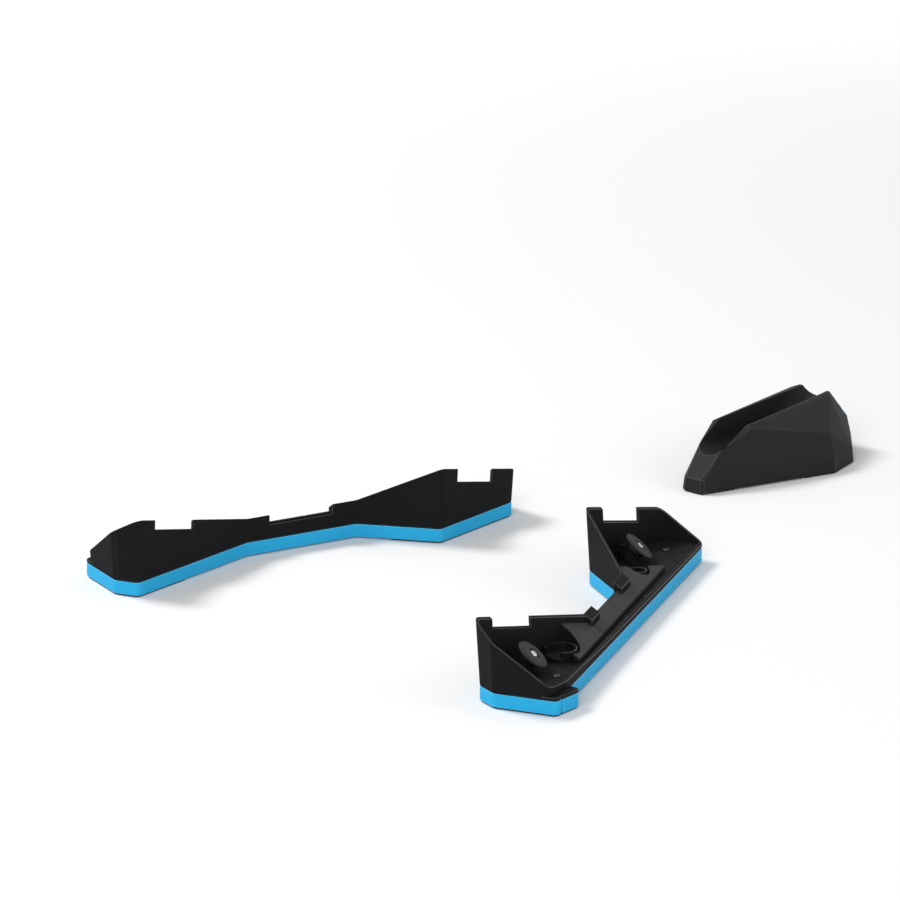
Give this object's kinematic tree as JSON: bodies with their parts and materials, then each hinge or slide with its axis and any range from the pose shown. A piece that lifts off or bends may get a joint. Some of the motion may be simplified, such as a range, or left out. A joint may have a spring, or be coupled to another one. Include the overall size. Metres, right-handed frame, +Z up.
{
  "type": "trainer motion plate set",
  "caption": "Pair of mirror-image plates that let a bicycle trainer rock fore and aft, each a sprung black tray on a blue base, with a front wheel block.",
  "frame": {"origin": "centre of the set's bounding box, on the floor", "axes": "+X towards the wheel block, +Y to the rider's left, +Z up"},
  "size_m": [1.0819, 0.7716, 0.1035],
  "materials": {
    "blue_shell": "satin",
    "black_shell": "matte",
    "deck_grey": "matte",
    "rest_grey": "satin",
    "pad_rubber": "matte",
    "roller_plastic": "satin",
    "steel": "brushed"
  },
  "bodies": {
    "set": {"left_base": "blue_shell", "left_floor_pads": "pad_rubber", "left_axles": "steel", "left_buffers": "pad_rubber", "left_springs": "steel", "right_base": "blue_shell", "right_floor_pads": "pad_rubber", "right_axles": "steel", "right_buffers": "pad_rubber", "right_springs": "steel", "block_shell": "black_shell", "block_base_plate": "black_shell", "block_feet": "pad_rubber", "block_screws": "steel", "block_inlays": "blue_shell"},
    "left_tray": {"left_tray": "black_shell", "left_deck": "black_shell", "left_deck_pad_rear": "deck_grey", "left_deck_pad_mid_rear": "deck_grey", "left_deck_pad_mid_front": "deck_grey", "left_deck_pad_front": "deck_grey", "left_cup_rear": "black_shell", "left_cup_front": "black_shell", "left_posts": "black_shell", "left_guide_screws": "steel", "left_guide_washers": "steel", "left_guide_nuts": "steel"},
    "left_roller_rear": {"left_roller_rear": "roller_plastic"},
    "left_roller_mid_rear": {"left_roller_mid_rear": "roller_plastic"},
    "left_roller_mid_front": {"left_roller_mid_front": "roller_plastic"},
    "left_roller_front": {"left_roller_front": "roller_plastic"},
    "left_rest_rear": {"left_rest_pad_rear": "rest_grey", "left_pad_screw_rear": "steel"},
    "left_rest_front": {"left_rest_pad_front": "rest_grey", "left_pad_screw_front": "steel"},
    "right_tray": {"right_tray": "black_shell", "right_deck": "black_shell", "right_deck_pad_rear": "deck_grey", "right_deck_pad_mid_rear": "deck_grey", "right_deck_pad_mid_front": "deck_grey", "right_deck_pad_front": "deck_grey", "right_cup_rear": "black_shell", "right_cup_front": "black_shell", "right_posts": "black_shell", "right_guide_screws": "steel", "right_guide_washers": "steel", "right_guide_nuts": "steel"},
    "right_roller_rear": {"right_roller_rear": "roller_plastic"},
    "right_roller_mid_rear": {"right_roller_mid_rear": "roller_plastic"},
    "right_roller_mid_front": {"right_roller_mid_front": "roller_plastic"},
    "right_roller_front": {"right_roller_front": "roller_plastic"},
    "right_rest_rear": {"right_rest_pad_rear": "rest_grey", "right_pad_screw_rear": "steel"},
    "right_rest_front": {"right_rest_pad_front": "rest_grey", "right_pad_screw_front": "steel"}
  },
  "joints": [
    {"name": "left_tray_travel", "type": "slide", "parent": "set", "child": "left_tray", "axis": [1, 0, 0], "range_m": [-0.02, 0.02], "stiffness_N_per_m": 600, "deforming": ["left_springs"]},
    {"name": "left_roller_rear_spin", "type": "hinge", "parent": "set", "child": "left_roller_rear", "pos_m": [-0.50308, 0.3, 0.0133], "axis": [0, 1, 0], "range_deg": [-170, 170]},
    {"name": "left_roller_mid_rear_spin", "type": "hinge", "parent": "set", "child": "left_roller_mid_rear", "pos_m": [-0.35008, 0.30094, 0.0133], "axis": [0, 1, 0], "range_deg": [-170, 170]},
    {"name": "left_roller_mid_front_spin", "type": "hinge", "parent": "set", "child": "left_roller_mid_front", "pos_m": [-0.14108, 0.201, 0.0133], "axis": [0, 1, 0], "range_deg": [-170, 170]},
    {"name": "left_roller_front_spin", "type": "hinge", "parent": "set", "child": "left_roller_front", "pos_m": [0.00492, 0.1365, 0.0133], "axis": [0, 1, 0], "range_deg": [-170, 170]},
    {"name": "left_rest_rear_tilt", "type": "hinge", "parent": "left_tray", "child": "left_rest_rear", "pos_m": [-0.46562, 0.307, 0.04307], "axis": [0.9317, -0.3633, 0], "range_deg": [-8, 8], "stiffness_Nm_per_rad": 0.2},
    {"name": "left_rest_front_tilt", "type": "hinge", "parent": "left_tray", "child": "left_rest_front", "pos_m": [-0.07048, 0.1566, 0.04077], "axis": [0.9317, -0.3633, 0], "range_deg": [-8, 8], "stiffness_Nm_per_rad": 0.2},
    {"name": "right_tray_travel", "type": "slide", "parent": "set", "child": "right_tray", "axis": [1, 0, 0], "range_m": [-0.02, 0.02], "stiffness_N_per_m": 600, "deforming": ["right_springs"]},
    {"name": "right_roller_rear_spin", "type": "hinge", "parent": "set", "child": "right_roller_rear", "pos_m": [-0.50308, -0.3, 0.0133], "axis": [0, 1, 0], "range_deg": [-170, 170]},
    {"name": "right_roller_mid_rear_spin", "type": "hinge", "parent": "set", "child": "right_roller_mid_rear", "pos_m": [-0.35008, -0.30094, 0.0133], "axis": [0, 1, 0], "range_deg": [-170, 170]},
    {"name": "right_roller_mid_front_spin", "type": "hinge", "parent": "set", "child": "right_roller_mid_front", "pos_m": [-0.14108, -0.201, 0.0133], "axis": [0, 1, 0], "range_deg": [-170, 170]},
    {"name": "right_roller_front_spin", "type": "hinge", "parent": "set", "child": "right_roller_front", "pos_m": [0.00492, -0.1365, 0.0133], "axis": [0, 1, 0], "range_deg": [-170, 170]},
    {"name": "right_rest_rear_tilt", "type": "hinge", "parent": "right_tray", "child": "right_rest_rear", "pos_m": [-0.46562, -0.307, 0.04307], "axis": [0.9317, 0.3633, 0], "range_deg": [-8, 8], "stiffness_Nm_per_rad": 0.2},
    {"name": "right_rest_front_tilt", "type": "hinge", "parent": "right_tray", "child": "right_rest_front", "pos_m": [-0.07048, -0.1566, 0.04077], "axis": [0.9317, 0.3633, 0], "range_deg": [-8, 8], "stiffness_Nm_per_rad": 0.2}
  ],
  "couplings": [
    {"joint": "left_roller_rear_spin", "follows": "left_tray_travel", "rad_per_m": 142.86},
    {"joint": "left_roller_mid_rear_spin", "follows": "left_tray_travel", "rad_per_m": 142.86},
    {"joint": "left_roller_mid_front_spin", "follows": "left_tray_travel", "rad_per_m": 142.86},
    {"joint": "left_roller_front_spin", "follows": "left_tray_travel", "rad_per_m": 142.86},
    {"joint": "right_roller_rear_spin", "follows": "right_tray_travel", "rad_per_m": 142.86},
    {"joint": "right_roller_mid_rear_spin", "follows": "right_tray_travel", "rad_per_m": 142.86},
    {"joint": "right_roller_mid_front_spin", "follows": "right_tray_travel", "rad_per_m": 142.86},
    {"joint": "right_roller_front_spin", "follows": "right_tray_travel", "rad_per_m": 142.86}
  ]
}
